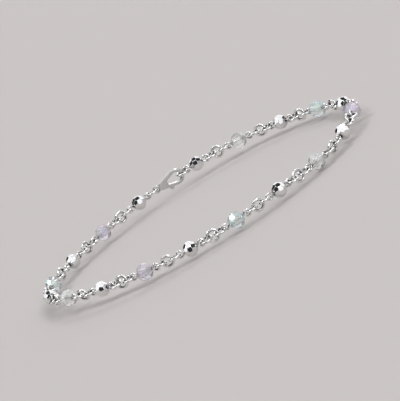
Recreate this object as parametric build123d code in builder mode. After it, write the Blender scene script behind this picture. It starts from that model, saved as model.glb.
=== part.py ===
from build123d import *
from collections import namedtuple
from math import cos, radians, sin
import os

# A chain anklet in millimetres, worn level round an ankle. The origin is the middle of the
# loop, +Z runs up the leg, +X points to the toes, and -Y is the outer side of the ankle.
# Silver and crystal beads take turns, each on its own wire pin with an eye at both ends,
# and three round links join one pin's eye to the next. A claw clasp closes the far side.

# Loop
half_length = 43.0  # ankle's centre to the instep, before the chain's own length scales it
half_width = 33.0  # ankle's centre to its side, scaled with half_length
wave_height = 0.6  # the chain lies a little uneven: three gentle waves round the leg
wave_turn = 88.0  # degrees from the front to a crest
sag_depth = 1.6  # slack stretch on the outer side, in front of the ankle bone
sag_turn = 318.0
sag_spread = 16.0
clasp_turn = 92.0  # degrees from the front to where the clasp's claw begins

# Chain
bead_count = 19  # silver first and last
rings_between = 3
play = 0.17  # slack left where two pieces of wire hook into each other
roll_range = 12.0  # degrees that pieces lie away from flat or upright
roll_stride = 137.5
spin_stride = 49.0  # degrees that each bead is turned on its pin from the one before

# Links and pins
ring_wire = 0.7
ring_bore = 2.03
pin_wire = 0.5
eye_bore = 1.1
eye_gap = 0.1  # between a bead's drilled end and the pin's eye

# Beads
silver_size = 3.7
silver_table = 1.68  # bead's centre to the flat round its hole
crystal_size = 4.2
crystal_table = 1.93
hole_size = 0.8

# Clasp
clasp_thick = 0.8
claw_x, claw_radius = 2.675, 2.1
mouth_x, mouth_radius = 2.625, 1.15
throat_x, throat_radius = 0.475, 0.5
tail_x, tail_radius = -1.725, 1.0
clasp_eye_x, clasp_eye_radius, clasp_eye_bore = -3.225, 1.05, 1.1
thumb_x, thumb_y, thumb_radius = 0.4, 1.7, 0.6
clasp_edge = 0.2

# Rows of flats cut on a bead, on both sides of its waist where sides is 2: degrees from the
# waist, flats in the row, how far the row is turned in flats, and the flats' distance from the
# bead's centre as a share of its radius.
FlatRow = namedtuple("FlatRow", "from_waist flats turned depth sides")
silver_rows = [
    FlatRow(0, 10, 0.0, 0.96, 1),
    FlatRow(34, 10, 0.5, 0.96, 2),
    FlatRow(62, 5, 0.0, 0.965, 2),
]
crystal_rows = [
    FlatRow(18, 8, 0.0, 0.925, 2),
    FlatRow(50, 8, 0.5, 0.93, 2),
]

def pin_reach(table):
    # From the middle of a bead's pin to the far wall of its eye.
    return table + eye_gap + pin_wire + eye_bore


clasp_reach = mouth_x + mouth_radius  # as far as the eye's far wall on the other side
hook_length = {
    "clasp": 2 * clasp_reach,
    "ring": ring_bore,
    "silver": 2 * pin_reach(silver_table),
    "crystal": 2 * pin_reach(crystal_table),
}


def chain_plan():
    # Kinds of the pieces in a row, from the clasp round the ankle and back to it.
    plan = ["clasp", "ring", "silver"]
    for bead in range(1, bead_count):
        plan += ["ring"] * rings_between + ["crystal" if bead % 2 else "silver"]
    return plan + ["ring"]


def loop_point(turn, scale):
    # Point of the chain's centre line, at an angle round the ankle from its front.
    waves = wave_height * cos(radians(3 * (turn - wave_turn)))
    from_sag = (turn - sag_turn + 180) % 360 - 180
    sag = sag_depth * 2 ** -((from_sag / sag_spread) ** 2)
    return Vector(
        scale * half_length * cos(radians(turn)),
        scale * half_width * sin(radians(turn)),
        waves - sag,
    )


def hook_turns(plan, scale):
    # Angles of the points where each piece of the plan hooks into the next.
    turns = [clasp_turn]
    for kind in plan:
        start = loop_point(turns[-1], scale)
        length = hook_length[kind] - play
        step = 1.0
        for _ in range(8):
            step *= length / (loop_point(turns[-1] + step, scale) - start).length
        turns.append(turns[-1] + step)
    return turns


def closing_scale(plan):
    # Size of the loop at which the last piece meets the first.
    scale = 1.0
    for _ in range(12):
        scale *= (hook_turns(plan, scale)[-1] - clasp_turn) / 360
    return scale


def lying(start, end, index):
    # Plane of a piece between its two hooks: X along the chain, Z out of its flat side.
    # Even pieces lie flat against the leg and odd ones stand across it.
    middle = (start + end) / 2
    along = (end - start).normalized()
    if index % 2 == 0:
        face = Vector(middle.X / half_length**2, middle.Y / half_width**2, 0).normalized()
    else:
        face = Vector(0, 0, 1)
    face = (face - along * face.dot(along)).normalized()
    roll = roll_range * sin(radians(index * roll_stride))
    face = face.rotate(Axis((0, 0, 0), along), roll)
    return Plane(origin=middle, x_dir=along, z_dir=face)


def cut_bead(size, table, rows):
    # A ball cut to flats, drilled along X, with a flat table round each end of the hole.
    with BuildPart() as bead:
        Box(2 * table, size, size)
        for row in rows:
            for side in (1, -1)[: row.sides]:
                tilt = radians(side * row.from_waist)
                for flat in range(row.flats):
                    angle = radians((flat + row.turned) * 360 / row.flats)
                    out = Vector(sin(tilt), cos(tilt) * cos(angle), cos(tilt) * sin(angle))
                    facet = Plane(origin=out * row.depth * size / 2, z_dir=out)
                    split(bisect_by=facet, keep=Keep.BOTTOM)
        with Locations(Plane.YZ):
            Hole(hole_size / 2)
    return bead


def make_eye_pin(table):
    # Wire through a bead with a closed eye at each end, the eyes flat in XY.
    eye_mid = (eye_bore + pin_wire) / 2
    eye_x = pin_reach(table) - eye_bore / 2
    with BuildPart() as pin:
        Cylinder(pin_wire / 2, 2 * (eye_x - eye_mid), rotation=(0, 90, 0))
        with Locations((eye_x, 0, 0), (-eye_x, 0, 0)):
            Torus(eye_mid, pin_wire / 2)
    return pin


def make_clasp():
    # Plain claw clasp in one piece: claw, throat, thumb knob and a round eye.
    with BuildPart() as claw:
        with BuildSketch() as outline:
            with Locations((claw_x, 0)):
                Circle(claw_radius)
            with Locations((tail_x, 0)):
                Circle(tail_radius)
            make_hull()
            with Locations((clasp_eye_x, 0)):
                Circle(clasp_eye_radius)
            with Locations((thumb_x, thumb_y)):
                Circle(thumb_radius)
        extrude(amount=clasp_thick / 2, both=True)
        with BuildSketch() as openings:
            with Locations((mouth_x, 0)):
                Circle(mouth_radius)
            with Locations((throat_x, 0)):
                Circle(throat_radius)
            make_hull()
            with Locations((clasp_eye_x, 0)):
                Circle(clasp_eye_bore / 2)
        extrude(amount=clasp_thick, both=True, mode=Mode.SUBTRACT)
        flats = claw.faces().filter_by(Axis.Z)
        fillet(flats.edges(), clasp_edge)
    return claw


def place_part(master, plane):
    # The same piece again, where the plane stands.
    with BuildPart() as placed:
        with Locations(plane):
            add(master.part)
    return placed


os.makedirs("parts", exist_ok=True)

plan = chain_plan()
scale = closing_scale(plan)
hooks = [loop_point(turn, scale) for turn in hook_turns(plan, scale)]
planes = [lying(hooks[i], hooks[i + 1], i) for i in range(len(plan))]

cut_beads = {
    "silver": cut_bead(silver_size, silver_table, silver_rows),
    "crystal": cut_bead(crystal_size, crystal_table, crystal_rows),
}
eye_pins = {"silver": make_eye_pin(silver_table), "crystal": make_eye_pin(crystal_table)}

# Beads, each on its pin: silver on the odd pins and crystal on the even ones.
strung = [(plane, kind) for plane, kind in zip(planes, plan) if kind in cut_beads]
for number, (plane, kind) in enumerate(strung, start=1):
    pin = place_part(eye_pins[kind], plane)
    pin.part.label = f"eye_pin_{number:02d}"
    export_step(pin.part, f"parts/{pin.part.label}.step")

    spin = Rotation(number * spin_stride, 0, 0)
    bead = place_part(cut_beads[kind], plane * spin)
    bead.part.label = f"{kind}_bead_{(number + 1) // 2:02d}"
    export_step(bead.part, f"parts/{bead.part.label}.step")

# Links: loose rings, in one node for each side of the leg.
ring_planes = [plane for plane, kind in zip(planes, plan) if kind == "ring"]
near_planes = [plane for plane in ring_planes if plane.origin.Y < 0]
far_planes = [plane for plane in ring_planes if plane.origin.Y >= 0]

with BuildPart() as link_rings_near:
    with Locations(near_planes):
        Torus((ring_bore + ring_wire) / 2, ring_wire / 2)
link_rings_near.part.label = "link_rings_near"
export_step(link_rings_near.part, "parts/link_rings_near.step")

with BuildPart() as link_rings_far:
    with Locations(far_planes):
        Torus((ring_bore + ring_wire) / 2, ring_wire / 2)
link_rings_far.part.label = "link_rings_far"
export_step(link_rings_far.part, "parts/link_rings_far.step")

clasp = place_part(make_clasp(), planes[0] * Rotation(0, 0, 180))
clasp.part.label = "clasp"
export_step(clasp.part, "parts/clasp.step")

chain_length = sum(hook_length[kind] - play for kind in plan)
print(f"chain {chain_length:.1f} mm round, loop {2 * scale * half_length:.1f} x "
      f"{2 * scale * half_width:.1f} mm")
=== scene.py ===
from math import cos, radians, sin

import bpy
import numpy as np
from mathutils import Matrix, Vector


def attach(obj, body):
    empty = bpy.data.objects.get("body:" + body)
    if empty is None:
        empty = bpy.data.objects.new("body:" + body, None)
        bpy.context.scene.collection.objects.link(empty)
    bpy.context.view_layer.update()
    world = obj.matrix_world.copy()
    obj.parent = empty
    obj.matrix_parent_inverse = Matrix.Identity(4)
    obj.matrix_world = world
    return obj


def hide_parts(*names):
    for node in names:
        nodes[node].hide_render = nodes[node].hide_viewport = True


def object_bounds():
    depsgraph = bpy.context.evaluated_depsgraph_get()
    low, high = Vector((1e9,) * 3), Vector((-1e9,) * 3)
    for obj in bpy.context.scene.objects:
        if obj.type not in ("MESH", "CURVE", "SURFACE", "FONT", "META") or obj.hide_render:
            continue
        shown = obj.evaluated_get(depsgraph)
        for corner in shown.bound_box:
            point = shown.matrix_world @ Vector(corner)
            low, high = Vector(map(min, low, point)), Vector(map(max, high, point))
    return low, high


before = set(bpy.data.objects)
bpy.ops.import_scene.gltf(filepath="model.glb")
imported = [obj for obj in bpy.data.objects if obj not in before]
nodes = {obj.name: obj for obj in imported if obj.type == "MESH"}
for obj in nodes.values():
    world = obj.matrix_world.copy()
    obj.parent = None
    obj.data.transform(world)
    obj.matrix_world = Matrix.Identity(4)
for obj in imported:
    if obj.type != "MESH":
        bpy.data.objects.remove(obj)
cadBox = [list(corner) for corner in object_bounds()]
mm = 0.001  # pieces are modelled in millimetres, and brought to metres as they are placed


class Signal:
    # A shader socket. Sums with it add Math nodes.
    def __init__(self, tree, socket):
        self.tree, self.socket = tree, socket

    def math(self, operation, first, second):
        node = self.tree.nodes.new("ShaderNodeMath")
        node.operation = operation
        for slot, value in zip(node.inputs, (first, second)):
            if isinstance(value, Signal):
                self.tree.links.new(value.socket, slot)
            else:
                slot.default_value = value
        return Signal(self.tree, node.outputs[0])

    def __add__(self, other):
        return self.math("ADD", self, other)

    def __mul__(self, other):
        return self.math("MULTIPLY", self, other)

    def __pow__(self, other):
        return self.math("POWER", self, other)

    __radd__ = __add__
    __rmul__ = __mul__


class Graph:
    # A node tree with its last shader. node() adds any node, whose sockets are given by name or as
    # i and a number, and feed() links into that shader.
    def __init__(self, owner, shader):
        owner.use_nodes = True
        self.tree = owner.node_tree
        self.shader = self.tree.nodes[shader]

    def node(self, kind, output=0, settings=None, **values):
        node = self.tree.nodes.new("ShaderNode" + kind)
        for key, value in (settings or {}).items():
            setattr(node, key, value)
        for key, value in values.items():
            slot = node.inputs[int(key[1:]) if key[1:].isdigit() else key.replace("_", " ")]
            if isinstance(value, Signal):
                self.tree.links.new(value.socket, slot)
            else:
                slot.default_value = value
        return Signal(self.tree, node.outputs[output])

    def blend(self, mask, first, second):
        first, second = [c if isinstance(c, Signal) else (*c, 1) for c in (first, second)]
        return self.node("Mix", output=2, settings={"data_type": "RGBA"}, i0=mask, i6=first, i7=second)

    def fade(self, value, start, end):
        smooth = {"interpolation_type": "SMOOTHSTEP"}
        return self.node("MapRange", settings=smooth, Value=value, From_Min=start, From_Max=end)

    def feed(self, **values):
        for key, value in values.items():
            self.tree.links.new(value.socket, self.shader.inputs[key.replace("_", " ")])


class Finish(Graph):
    # A node material, whose constants go on its shader's own sockets.
    def __init__(self, name, **constants):
        self.material = bpy.data.materials.new(name)
        super().__init__(self.material, "Principled BSDF")
        for socket, value in constants.items():
            self.shader.inputs[socket.replace("_", " ")].default_value = value

    def noise(self, perMetre, detail, stretch=(1, 1, 1)):
        place = self.node("Mapping", Vector=self.node("TexCoord", output="Object"), Scale=stretch)
        return self.node("TexNoise", Vector=place, Scale=perMetre, Detail=detail)


# Silver: each kind has its own cloudy shades and fine hairlines. Recesses get a little painted shade.
silver = {
    "cutSilver": {
        "light": (0.88, 0.88, 0.875),
        "dark": (0.72, 0.725, 0.73),
        "clouds": 420,  # clouds and hairlines in a metre
        "hairs": 2600,
        "stretch": (1, 1, 0.12),
        "dull": 0.02,
    },
    "silverWire": {
        "light": (0.92, 0.92, 0.91),
        "dark": (0.74, 0.745, 0.75),
        "clouds": 600,
        "hairs": 3200,
        "stretch": (1, 1, 1),
        "dull": 0.05,
    },
    "castSilver": {
        "light": (0.70, 0.70, 0.69),
        "dark": (0.46, 0.465, 0.47),
        "clouds": 500,
        "hairs": 1900,
        "stretch": (1, 1, 1),
        "dull": 0.12,
    },
}
wearAndShade = {
    "paintedShade": (0.13, 0.127, 0.123),
    "paintedShadeAll": 0.6,  # how much of it every recess has, and what the clouds add
    "paintedShadeClouds": 0.65,
    "hairRelief": 0.06,
    "hairDepth": 0.00004,
    "dullClouds": 0.09,  # what clouds, hairlines and recesses add to the roughness
    "dullHairs": 0.03,
    "dullRecess": 0.15,
}


def silverFinish(name):
    kind = silver[name]
    finish = Finish(name, Metallic=1.0)
    cloud = finish.noise(kind["clouds"], detail=4)
    hairlines = finish.noise(kind["hairs"], detail=2, stretch=kind["stretch"])
    recess = finish.node("Attribute", output=2, settings={"attribute_name": "recess"})
    # Painted shade: recesses are darkened towards a near-black colour, where shade would fall.
    paintedShade = recess * (wearAndShade["paintedShadeAll"] + cloud * wearAndShade["paintedShadeClouds"])
    colour = finish.blend(cloud ** 2.0, kind["light"], kind["dark"])
    dulled = kind["dull"] + cloud * wearAndShade["dullClouds"] + hairlines * wearAndShade["dullHairs"]
    bump = finish.node(
        "Bump", Strength=wearAndShade["hairRelief"], Distance=wearAndShade["hairDepth"], Height=hairlines)
    finish.feed(
        Base_Color=finish.blend(paintedShade, colour, wearAndShade["paintedShade"]), Normal=bump,
        Roughness=dulled + recess * wearAndShade["dullRecess"])
    return finish.material


# Crystal: clear cut glass, a little milky, under a thin coating whose thickness gives its tint.
crystal = {
    "clear": 0.70,
    "refraction": 1.62,
    "coatRefraction": 2.05,
    "clouds": 260,  # clouds and rubs in a metre
    "rubs": 2400,
    "rubRelief": 0.02,
    "rubDepth": 0.00003,
    "rubDull": 0.06,
    # the coating's thickness in nanometres, and the glass's light and shaded colour
    "kinds": {
        "crystalLilac": (139.0, (1.0, 0.98, 1.0), (0.96, 0.94, 0.975)),
        "crystalIce": (192.0, (1.0, 1.0, 1.0), (0.95, 0.96, 0.975)),
        "crystalClear": (67.0, (1.0, 1.0, 1.0), (0.95, 0.96, 0.975)),
    },
}


def crystalFinish(name):
    coat, light, shade = crystal["kinds"][name]
    finish = Finish(
        name, Transmission_Weight=crystal["clear"], IOR=crystal["refraction"],
        Thin_Film_Thickness=coat, Thin_Film_IOR=crystal["coatRefraction"])
    cloud = finish.noise(crystal["clouds"], detail=2)
    rub = finish.noise(crystal["rubs"], detail=3)
    bump = finish.node(
        "Bump", Strength=crystal["rubRelief"], Distance=crystal["rubDepth"], Height=rub)
    finish.feed(
        Base_Color=finish.blend(cloud, light, shade), Normal=bump,
        Roughness=rub ** 3.0 * crystal["rubDull"])
    return finish.material


cutSilver, silverWire, castSilver = (silverFinish(name) for name in silver)
crystals = [crystalFinish(name) for name in crystal["kinds"]]
print("finishes made")


def deselect():
    if bpy.context.object and bpy.context.object.mode != "OBJECT":
        bpy.ops.object.mode_set(mode="OBJECT")
    bpy.ops.object.select_all(action="DESELECT")


def only(piece):
    deselect()
    piece.select_set(True)
    bpy.context.view_layer.objects.active = piece


def inEditMode(piece, mode="FACE"):
    only(piece)
    bpy.ops.object.mode_set(mode="EDIT")
    bpy.ops.mesh.select_mode(type=mode)
    bpy.ops.mesh.select_all(action="DESELECT")


def backToObject():
    bpy.ops.object.mode_set(mode="OBJECT")


def selectWhere(piece, kind, test):
    # Leaves the piece in edit mode with just the faces, edges or points that pass the test.
    inEditMode(piece, kind)
    backToObject()
    parts = {"FACE": piece.data.polygons, "EDGE": piece.data.edges, "VERT": piece.data.vertices}[kind]
    for part in parts:
        part.select = test(part)
    bpy.ops.object.mode_set(mode="EDIT")


def modify(piece, kind, **settings):
    only(piece)
    modifier = piece.modifiers.new(kind.lower(), kind)
    for key, value in settings.items():
        setattr(modifier, key, value)
    bpy.ops.object.modifier_apply(modifier=modifier.name)


def tidyMesh(piece):
    inEditMode(piece)
    bpy.ops.mesh.select_all(action="SELECT")
    bpy.ops.mesh.remove_doubles(threshold=1e-3)
    bpy.ops.mesh.normals_make_consistent(inside=False)
    backToObject()


def markRecess(piece, depthAt):
    # Marks each point from 0 in the open to 1 deep in a recess, for the painted shade and the extra
    # roughness there.
    marks = piece.data.attributes.new("recess", "FLOAT", "POINT")
    for mark, vertex in zip(marks.data, piece.data.vertices):
        mark.value = min(1.0, max(0.0, depthAt(vertex.co)))
    return piece


# Cut beads: a block is cut to rows of flats, drilled, and its edges are broken a little.
bead = {
    "hole": 0.8,
    "holeSides": 20,
    "shadeFade": 0.6,  # how much the painted shade round the hole loses in each radius of the hole
    "spinStride": 49.0,  # degrees that each bead is turned on its pin from the one before
    # a row of flats: from the waist in degrees, flats in it, turned by, depth, sides
    "silver": {
        "size": 3.7,
        "table": 1.68,  # from the middle to the flat round the hole
        "edge": 0.042,
        "rows": [(0, 10, 0.0, 0.96, 1), (34, 10, 0.5, 0.96, 2), (62, 5, 0.0, 0.965, 2)],
    },
    "crystal": {
        "size": 4.2,
        "table": 1.93,
        "edge": 0.02,
        "rows": [(18, 8, 0.0, 0.925, 2), (50, 8, 0.5, 0.93, 2)],
    },
}


def cutBead(kind):
    size, table, edge, rows = (bead[kind][key] for key in ("size", "table", "edge", "rows"))
    deselect()
    bpy.ops.mesh.primitive_cube_add(size=1)
    piece = bpy.context.object
    bpy.ops.object.mode_set(mode="EDIT")
    bpy.ops.mesh.select_all(action="SELECT")
    bpy.ops.transform.resize(value=(2 * table, size, size))
    for fromWaist, flats, turned, depth, sides in rows:
        for side in (1, -1)[:sides]:
            tilt = radians(side * fromWaist)
            for flat in range(flats):
                angle = radians((flat + turned) * 360 / flats)
                out = Vector((sin(tilt), cos(tilt) * cos(angle), cos(tilt) * sin(angle)))
                bpy.ops.mesh.select_all(action="SELECT")
                bpy.ops.mesh.bisect(
                    plane_co=out * depth * size / 2, plane_no=out,
                    use_fill=True, clear_outer=True, threshold=1e-5)
    backToObject()
    deselect()
    bpy.ops.mesh.primitive_cylinder_add(
        vertices=bead["holeSides"], radius=bead["hole"] / 2, depth=2 * size, rotation=(0, radians(90), 0))
    drill = bpy.context.object
    modify(piece, "BOOLEAN", operation="DIFFERENCE", object=drill, solver="EXACT")
    bpy.data.objects.remove(drill)
    modify(piece, "BEVEL", width=edge, segments=2, limit_method="ANGLE", angle_limit=radians(12))
    only(piece)
    bpy.ops.object.shade_smooth_by_angle(angle=radians(8))
    # Painted shade round the drill hole, darkest at its edge and fading outwards.
    return markRecess(piece, lambda at: 1 + bead["shadeFade"] * (1 - at.yz.length * 2 / bead["hole"]))


# Eye pins: round wire, out of the bead's hole, over in a kink and round into an eye.
pin = {
    "wire": 0.5,
    "sides": 14,
    "eyeBeyond": 1.15,  # from the bead's table to the middle of the eye
    "eyeRadius": 0.8,
    "kinkRadius": 0.4,
    "kinkTurn": 55.0,
    "meetTurn": 35.0,  # where on the eye the kink runs into it
    "eyeTurn": 290.0,
    "kinkSteps": 5,
    "eyeSteps": 36,
    "shadeReach": 0.6,  # along the wire from where it enters the bead
}


def makeEyePin(table):
    # One half is drawn out from the middle and bent; its twin is turned half round.
    eye, kink = Vector((table + pin["eyeBeyond"], 0, 0)), pin["kinkRadius"]
    turn, meet = radians(pin["kinkTurn"]), radians(pin["meetTurn"])
    meetPoint = eye + pin["eyeRadius"] * Vector((-cos(meet), sin(meet), 0))
    run = (meetPoint.y - kink * (1 - cos(turn))) / sin(turn)
    kinkX = meetPoint.x - run * cos(turn) - kink * sin(turn)
    deselect()
    bpy.ops.mesh.primitive_circle_add(
        vertices=pin["sides"], radius=pin["wire"] / 2, fill_type="NGON", rotation=(0, radians(90), 0))
    piece = bpy.context.object
    only(piece)
    bpy.ops.object.transform_apply(rotation=True)
    bpy.ops.object.mode_set(mode="EDIT")
    bpy.ops.mesh.select_all(action="SELECT")
    bpy.ops.mesh.extrude_region_move(TRANSFORM_OT_translate={"value": (kinkX, 0, 0)})
    bpy.ops.mesh.spin(steps=pin["kinkSteps"], angle=-turn, center=(kinkX, kink, 0), axis=(0, 0, 1))
    bpy.ops.mesh.extrude_region_move(
        TRANSFORM_OT_translate={"value": (run * cos(turn), run * sin(turn), 0)})
    bpy.ops.mesh.spin(
        steps=pin["eyeSteps"], angle=radians(pin["eyeTurn"]), center=eye, axis=(0, 0, 1))
    backToObject()
    selectWhere(piece, "FACE", lambda face: abs(face.center.x) < 0.001 and abs(face.normal.x) > 0.9)
    bpy.ops.mesh.delete(type="FACE")
    backToObject()
    only(piece)
    bpy.ops.object.duplicate()
    bpy.context.object.data.transform(Matrix.Rotation(radians(180), 4, "Z"))
    piece.select_set(True)
    bpy.context.view_layer.objects.active = piece
    bpy.ops.object.join()
    tidyMesh(piece)
    only(piece)
    bpy.ops.object.shade_smooth_by_angle(angle=radians(40))

    # Painted shade: the inside of each eye and the wire near the bead are marked dark.
    def depthAt(at):  # the inside of each eye, and the wire where it enters the bead
        fromEye = (Vector((abs(at.x), at.y, at.z)) - eye).length
        return max((pin["eyeRadius"] - fromEye) / (pin["wire"] / 2) if abs(at.x) > kinkX else 0,
                   table + pin["shadeReach"] - abs(at.x))
    return markRecess(piece, depthAt)


# Link rings: round wire rings, each with the fine groove of its closed joint.
ring = {
    "wire": 0.7,
    "bore": 2.03,
    "aroundRing": 48,
    "aroundWire": 14,
    "jointWidth": 0.07,
    "jointWaist": 0.9,
    "spinStride": 137.5,  # degrees that each ring's joint is turned from the one before
}


def makeLinkRing():
    middleRadius = (ring["bore"] + ring["wire"]) / 2
    deselect()
    bpy.ops.mesh.primitive_torus_add(
        major_segments=ring["aroundRing"], minor_segments=ring["aroundWire"],
        major_radius=middleRadius, minor_radius=ring["wire"] / 2)
    piece = bpy.context.object

    def atJoint(point):  # the loop round the wire, where X is largest
        return abs(point.co.y) < 1e-4 and point.co.x > 0
    points = piece.data.vertices
    selectWhere(piece, "EDGE", lambda edge: all(atJoint(points[i]) for i in edge.vertices))
    bpy.ops.mesh.bevel(offset=ring["jointWidth"] / 2, segments=2, affect="EDGES")
    selectWhere(piece, "VERT", atJoint)
    waist = ring["jointWaist"]
    bpy.ops.transform.resize(value=(waist, 1, waist), center_override=(middleRadius, 0, 0))
    backToObject()
    only(piece)
    bpy.ops.object.shade_smooth_by_angle(angle=radians(50))

    # Painted shade: the ring's inside and its joint groove are marked dark.
    def depthAt(at):  # the ring's inside, and the groove of its joint
        inGroove = abs(at.y) < ring["jointWidth"] / 3 and at.x > 0
        return 1.0 if inGroove else (middleRadius - at.xy.length) / (ring["wire"] / 2)
    return markRecess(piece, depthAt)


# Clasp: a plain cast claw clasp in one piece, crowned on both faces.
clasp = {
    "claw": (2.675, 2.1),  # X of its middle, and radius
    "tail": (-1.725, 1.0),
    "mouth": (2.625, 1.15),
    "throat": (0.475, 0.5),
    "thumb": (0.4, 1.7, 0.6),  # X, Y and radius
    "thumbFlat": 0.62,
    "eyeX": -3.225,
    "eyeRadius": 0.8,
    "eyeBar": 0.25,
    "eyeBarTall": 1.4,  # the eye's bar is this much taller than it is wide
    "eyeSunk": 0.1,  # how far its middle lies inside the edge that it grows from
    "rim": 0.42,  # thickness at the outline
    "cutter": 3.0,  # height of what is cut away
    "crown": [(0.06, 0.08), (0.12, 0.07), (0.19, 0.04)],  # steps in from the outline, and rises
    "grain": 0.05,  # it is cast, so its edges run softly into each other
    "softened": 16,
}


def longPrism(ends, depth):
    # A prism whose outline runs round two discs.
    deselect()
    (x, radius), (farX, farRadius) = ends
    bpy.ops.mesh.primitive_cylinder_add(vertices=64, radius=radius, depth=depth, location=(x, 0, 0))
    piece = bpy.context.object
    bpy.ops.object.transform_apply()
    bpy.ops.object.mode_set(mode="EDIT")
    bpy.ops.mesh.primitive_cylinder_add(vertices=64, radius=farRadius, depth=depth, location=(farX, 0, 0))
    bpy.ops.mesh.select_all(action="SELECT")
    bpy.ops.mesh.convex_hull()
    bpy.ops.mesh.select_all(action="SELECT")
    bpy.ops.mesh.dissolve_limited(angle_limit=radians(1))
    backToObject()
    return piece


def combine(piece, operation, other):
    modify(piece, "BOOLEAN", operation=operation, object=other, solver="EXACT")
    bpy.data.objects.remove(other)


def makeClasp():
    piece = longPrism((clasp["claw"], clasp["tail"]), clasp["rim"])
    combine(piece, "DIFFERENCE", longPrism((clasp["mouth"], clasp["throat"]), clasp["cutter"]))
    selectWhere(piece, "FACE", lambda face: abs(face.normal.z) > 0.99)
    for stepIn, rise in clasp["crown"]:
        bpy.ops.mesh.inset(thickness=stepIn, depth=rise)
    backToObject()
    deselect()
    bpy.ops.mesh.primitive_cylinder_add(
        vertices=48, radius=clasp["eyeRadius"] - clasp["eyeSunk"], depth=clasp["cutter"],
        location=(clasp["eyeX"], 0, 0))
    combine(piece, "DIFFERENCE", bpy.context.object)
    deselect()
    bpy.ops.mesh.primitive_torus_add(
        major_segments=48, minor_segments=16, major_radius=clasp["eyeRadius"],
        minor_radius=clasp["eyeBar"], location=(clasp["eyeX"], 0, 0))
    bpy.ops.transform.resize(value=(1, 1, clasp["eyeBarTall"]))
    combine(piece, "UNION", bpy.context.object)
    deselect()
    thumbX, thumbY, thumbRadius = clasp["thumb"]
    bpy.ops.mesh.primitive_uv_sphere_add(
        segments=32, ring_count=16, radius=thumbRadius, location=(thumbX, thumbY, 0))
    bpy.ops.transform.resize(value=(1, 1, clasp["thumbFlat"]))
    combine(piece, "UNION", bpy.context.object)
    modify(piece, "REMESH", mode="VOXEL", voxel_size=clasp["grain"])
    modify(piece, "SMOOTH", factor=0.5, iterations=clasp["softened"])
    only(piece)
    bpy.ops.object.shade_smooth()

    # Painted shade: the inside of the eye is marked dark.
    def depthAt(at):  # the inside of the eye
        fromEye = (at - Vector((clasp["eyeX"], 0, 0))).length
        return (clasp["eyeRadius"] - fromEye) / clasp["eyeBar"]
    return markRecess(piece, depthAt)


patterns = {
    "silverBead": cutBead("silver"),
    "crystalBead": cutBead("crystal"),
    "silverPin": makeEyePin(bead["silver"]["table"]),
    "crystalPin": makeEyePin(bead["crystal"]["table"]),
    "linkRing": makeLinkRing(),
    "clasp": makeClasp(),
}
print("patterns modelled")


# Where the chain lies is read from the solids of its pins and rings.
def pointsOf(obj):
    flat = np.empty(len(obj.data.vertices) * 3, np.float32)
    obj.data.vertices.foreach_get("co", flat)
    return flat.reshape(-1, 3).astype(float)


def lyingOf(points):
    # Middle of a piece, its longest direction and its thinnest one.
    middle = points.mean(0)
    directions = np.linalg.svd(points - middle, full_matrices=False)[2]
    return Vector(middle), Vector(directions[0]), Vector(directions[2])


def standing(middle, along, face):
    # Matrix of a piece: X along the chain, Z out of its flat side.
    x = along.normalized()
    z = (face - x * face.dot(x)).normalized()
    turn = Matrix((x, z.cross(x), z)).transposed().to_4x4()
    return Matrix.Translation(middle) @ turn @ Matrix.Scale(mm, 4)


def placeCopy(pattern, name, matrix, slot, material, *replaced):
    piece = patterns[pattern].copy()
    piece.data = patterns[pattern].data.copy()
    piece.name = piece.data.name = name
    bpy.context.scene.collection.objects.link(piece)
    piece.data.transform(matrix)
    piece.data.materials.clear()
    piece.data.materials.append(material)
    if replaced:
        hold(piece, slot, *replaced)
    return piece


def hold(piece, slot, *replaced):
    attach(piece, "root")
    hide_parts(*replaced)


def stringUnits():
    pinNodes = sorted(name for name in nodes if name.startswith("eye_pin_"))
    lies = [lyingOf(pointsOf(nodes[name])) for name in pinNodes]
    for i, name in enumerate(pinNodes):
        middle, along, face = lies[i]
        onward = lies[i + 1][0] - middle if i + 1 < len(lies) else middle - lies[i - 1][0]
        along = along if along.dot(onward) > 0 else -along
        face = face if face.dot(middle) > 0 else -face
        matrix = standing(middle, along, face)
        number = i + 1
        kind = "silver" if number % 2 else "crystal"
        placeCopy(kind + "Pin", f"eyePin{number:02d}", matrix, "silver_wire", silverWire, name)
        spun = matrix @ Matrix.Rotation(radians(number * bead["spinStride"]), 4, "X")
        count = (number + 1) // 2
        if kind == "silver":
            slot, finish = "cut_silver", cutSilver
        else:
            slot, finish = "crystal", crystals[(count - 1) % len(crystals)]
        placeCopy(kind + "Bead", f"{kind}Bead{count:02d}", spun, slot, finish, f"{kind}_bead_{count:02d}")


def looseCopy(node):
    # A copy of a node's mesh with its loose triangles merged.
    piece = nodes[node].copy()
    piece.data = nodes[node].data.copy()
    piece.parent = None
    bpy.context.scene.collection.objects.link(piece)
    inEditMode(piece)
    bpy.ops.mesh.select_all(action="SELECT")
    bpy.ops.mesh.remove_doubles(threshold=1e-6)
    backToObject()
    return piece


def hookRings(node, name):
    # The node's rings are taken apart to find how each lies, and modelled rings are put there.
    inEditMode(looseCopy(node))
    bpy.ops.mesh.select_all(action="SELECT")
    bpy.ops.mesh.separate(type="LOOSE")
    backToObject()
    rings = []
    for count, part in enumerate(list(bpy.context.selected_objects)):
        middle, across, face = lyingOf(pointsOf(part))
        spin = Matrix.Rotation(radians(count * ring["spinStride"]), 4, "Z")
        rings.append(placeCopy("linkRing", f"{name}{count}", standing(middle, across, face) @ spin,
                               "silver_wire", silverWire))
        bpy.data.objects.remove(part)
    only(rings[0])
    for piece in rings:
        piece.select_set(True)
    bpy.ops.object.join()
    rings[0].name = rings[0].data.name = name
    hold(rings[0], "silver_wire", node)


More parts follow.
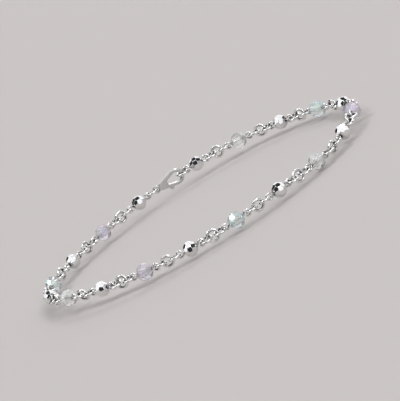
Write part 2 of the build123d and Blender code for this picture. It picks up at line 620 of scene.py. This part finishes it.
def placeClasp():
    # The solid's two round ends and the side that its knob is on say how the clasp lies.
    points = pointsOf(nodes["clasp"]) / mm
    middle, along, face = lyingOf(points)
    across = face.cross(along)
    flat = (points - middle) @ np.array([along, across]).T
    wide = np.abs(flat[:, 1]) > (clasp["tail"][1] + clasp["claw"][1]) / 2  # the claw and its knob
    clawEnd = 1 if flat[wide, 0].mean() > 0 else -1

    def roundEnd(toward, radius):
        # An end's middle lies its radius inside the two lines that touch it, aslant to either side.
        aslant = 0.3  # radians
        looks = np.array([(toward * cos(turn), sin(turn)) for turn in (-aslant, aslant)])
        return Vector(np.linalg.solve(looks, (flat @ looks.T).max(0) - radius))

    claw = roundEnd(clawEnd, clasp["claw"][1])
    eye = roundEnd(-clawEnd, clasp["eyeRadius"] + clasp["eyeBar"])
    x = (claw - eye).normalized()
    y = Vector((-x.y, x.x))
    side = (flat - np.array(claw)) @ np.array(y)
    y = y if side.max() > -side.min() else -y
    origin = claw - x * clasp["claw"][0]
    axes = [along * v.x + across * v.y for v in (x, y)]
    turn = Matrix((*axes, axes[0].cross(axes[1]))).transposed().to_4x4()
    place = Matrix.Translation((middle + along * origin.x + across * origin.y) * mm)
    matrix = place @ turn @ Matrix.Scale(mm, 4)
    placeCopy("clasp", "clawClasp", matrix, "silver_wire", castSilver, "clasp")


stringUnits()
placeClasp()
hookRings("link_rings_near", "linkRingsNear")
hookRings("link_rings_far", "linkRingsFar")
for pattern in patterns.values():
    bpy.data.objects.remove(pattern)
print("chain strung")


# Floor, light and camera. Room and floor are one pale tone to a little above the horizon. Over
# it stands a bright tent with dark flags in it, which polished silver needs to show its cut.
studio = {
    "gap": 0.0003,  # the floor lies this far under the lowest link
    "size": 30.0,
    "pale": (0.60, 0.57, 0.555),
    "tent": (1.1, 1.1, 1.12),
    "tentFrom": 0.07,  # heights between which the pale tone turns into the tent
    "tentBy": 0.16,
    "flag": (0.03, 0.03, 0.032),
    # turned from the front, up and radius in degrees
    "flags": [(-36, 22, 31), (80, 24, 20), (150, 62, 20), (-130, 26, 25)],
    "flagEdge": 4.0,
    # turned from the front, up and width in degrees, and the light it brings
    "lamps": {
        "keyLight": (40, 38, 16, 0.5),
        "topLight": (-80, 60, 14, 0.4),
        "backLight": (150, 45, 16, 0.4),
    },
}


def towards(turned, lifted):
    tilt = Matrix.Rotation(radians(-lifted), 3, "X")
    return Matrix.Rotation(radians(turned), 3, "Z") @ tilt @ Vector((0, -1, 0))


deselect()
bpy.ops.mesh.primitive_plane_add(size=studio["size"], location=(0, 0, cadBox[0][2] - studio["gap"]))
floorPiece = bpy.context.object
floorPiece.name = "floor"
paper = Finish("paper", Base_Color=(*studio["pale"], 1), Roughness=0.9, Specular_IOR_Level=0.1)
floorPiece.data.materials.append(paper.material)

bpy.context.scene.world = bpy.data.worlds.new("studio")
room = Graph(bpy.context.scene.world, "Background")
direction = room.node("TexCoord", output="Generated")
height = room.node("SeparateXYZ", output=2, Vector=direction)
overhead = room.fade(height, studio["tentFrom"], studio["tentBy"])
colour = room.blend(overhead, studio["pale"], studio["tent"])
for turned, lifted, radius in studio["flags"]:
    dotProduct = {"operation": "DOT_PRODUCT"}
    facing = room.node(
        "VectorMath", output=1, settings=dotProduct, i0=direction, i1=towards(turned, lifted))
    flag = room.fade(facing, cos(radians(radius + studio["flagEdge"])), cos(radians(radius)))
    colour = room.blend(flag, colour, studio["flag"])
room.feed(Color=colour)

for name, (turned, lifted, width, strength) in studio["lamps"].items():
    deselect()
    bpy.ops.object.light_add(type="SUN")
    lamp = bpy.context.object
    lamp.name = name
    lamp.data.angle, lamp.data.energy = radians(width), strength
    lamp.rotation_euler = (-towards(turned, lifted)).to_track_quat("-Z", "Y").to_euler()

# The camera stands nearly square to the outer side, a little above it, and rolled as the leg leans.
view = {
    "azimuth": 1.2,
    "elevation": 13.7,
    "roll": 32.5,
    "distance": 0.7,
    "width": 0.097,  # metres across the frame at the loop's middle
}
back = towards(view["azimuth"], view["elevation"])
level = Vector((0, 0, 1)).cross(back).normalized()
upright = back.cross(level)
roll = radians(view["roll"])
right = level * cos(roll) - upright * sin(roll)
up = level * sin(roll) + upright * cos(roll)
facingLoop = Matrix((right, up, back)).transposed().to_4x4()
bpy.ops.object.camera_add()
camera = bpy.context.object
camera.matrix_world = Matrix.Translation(back * view["distance"]) @ facingLoop
camera.data.lens = camera.data.sensor_width * view["distance"] / view["width"]
bpy.context.scene.camera = camera
bpy.context.scene.view_settings.view_transform = "Standard"
print("stage lit")
